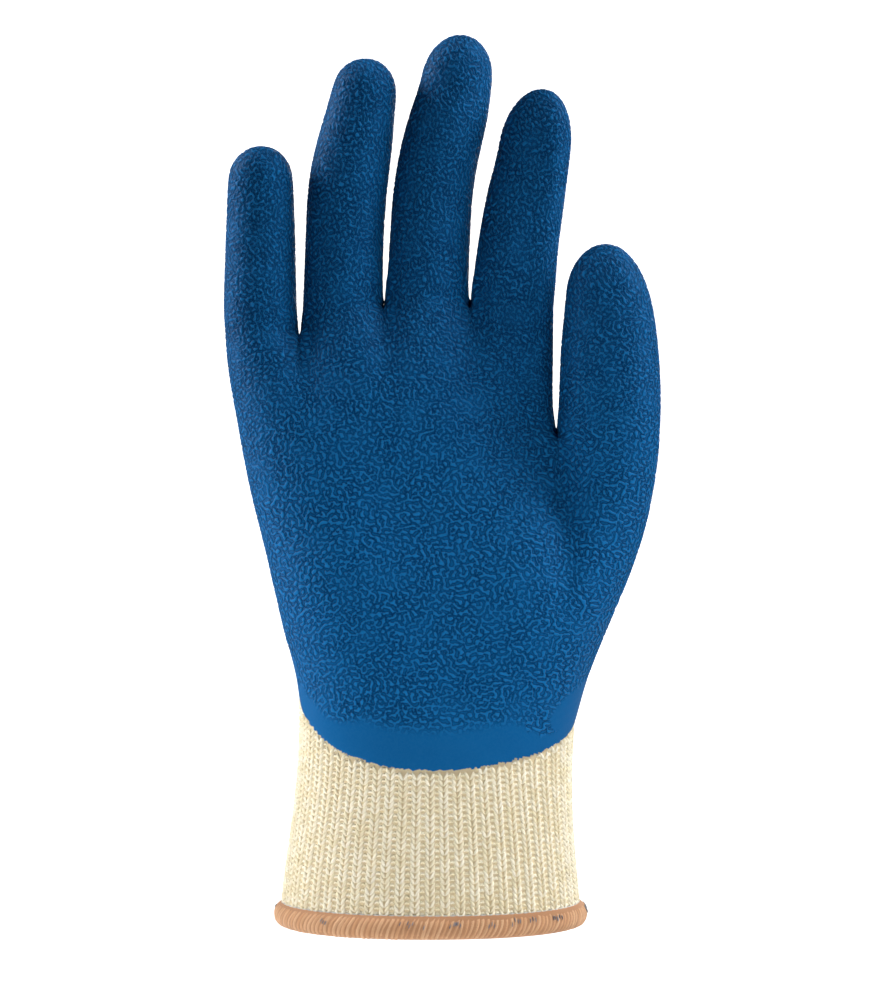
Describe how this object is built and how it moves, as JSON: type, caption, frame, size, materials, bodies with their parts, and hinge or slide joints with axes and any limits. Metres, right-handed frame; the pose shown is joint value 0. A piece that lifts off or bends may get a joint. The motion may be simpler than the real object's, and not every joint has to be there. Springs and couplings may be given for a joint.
{
  "type": "latex coated grip glove",
  "caption": "Right-hand knitted work glove shown filled, with crinkled blue latex on the palm, fingers and thumb, a cream ribbed cuff and a tan overlocked hem.",
  "frame": {"origin": "middle of the cuff opening, at the height of the hem's lower edge, where the wrist goes in", "axes": "+Z towards the fingertips, palm facing -Y, thumb at +X"},
  "size_m": [0.1214, 0.0598, 0.2488],
  "materials": {
    "knit": "cream ribbed and plain knit, matte",
    "latex": "crinkled blue latex, satin",
    "thread": "tan overlock thread, matte"
  },
  "bodies": {
    "root": {"knit_liner": "knit", "latex_coating": "latex", "cuff_hem": "thread"}
  },
  "joints": []
}
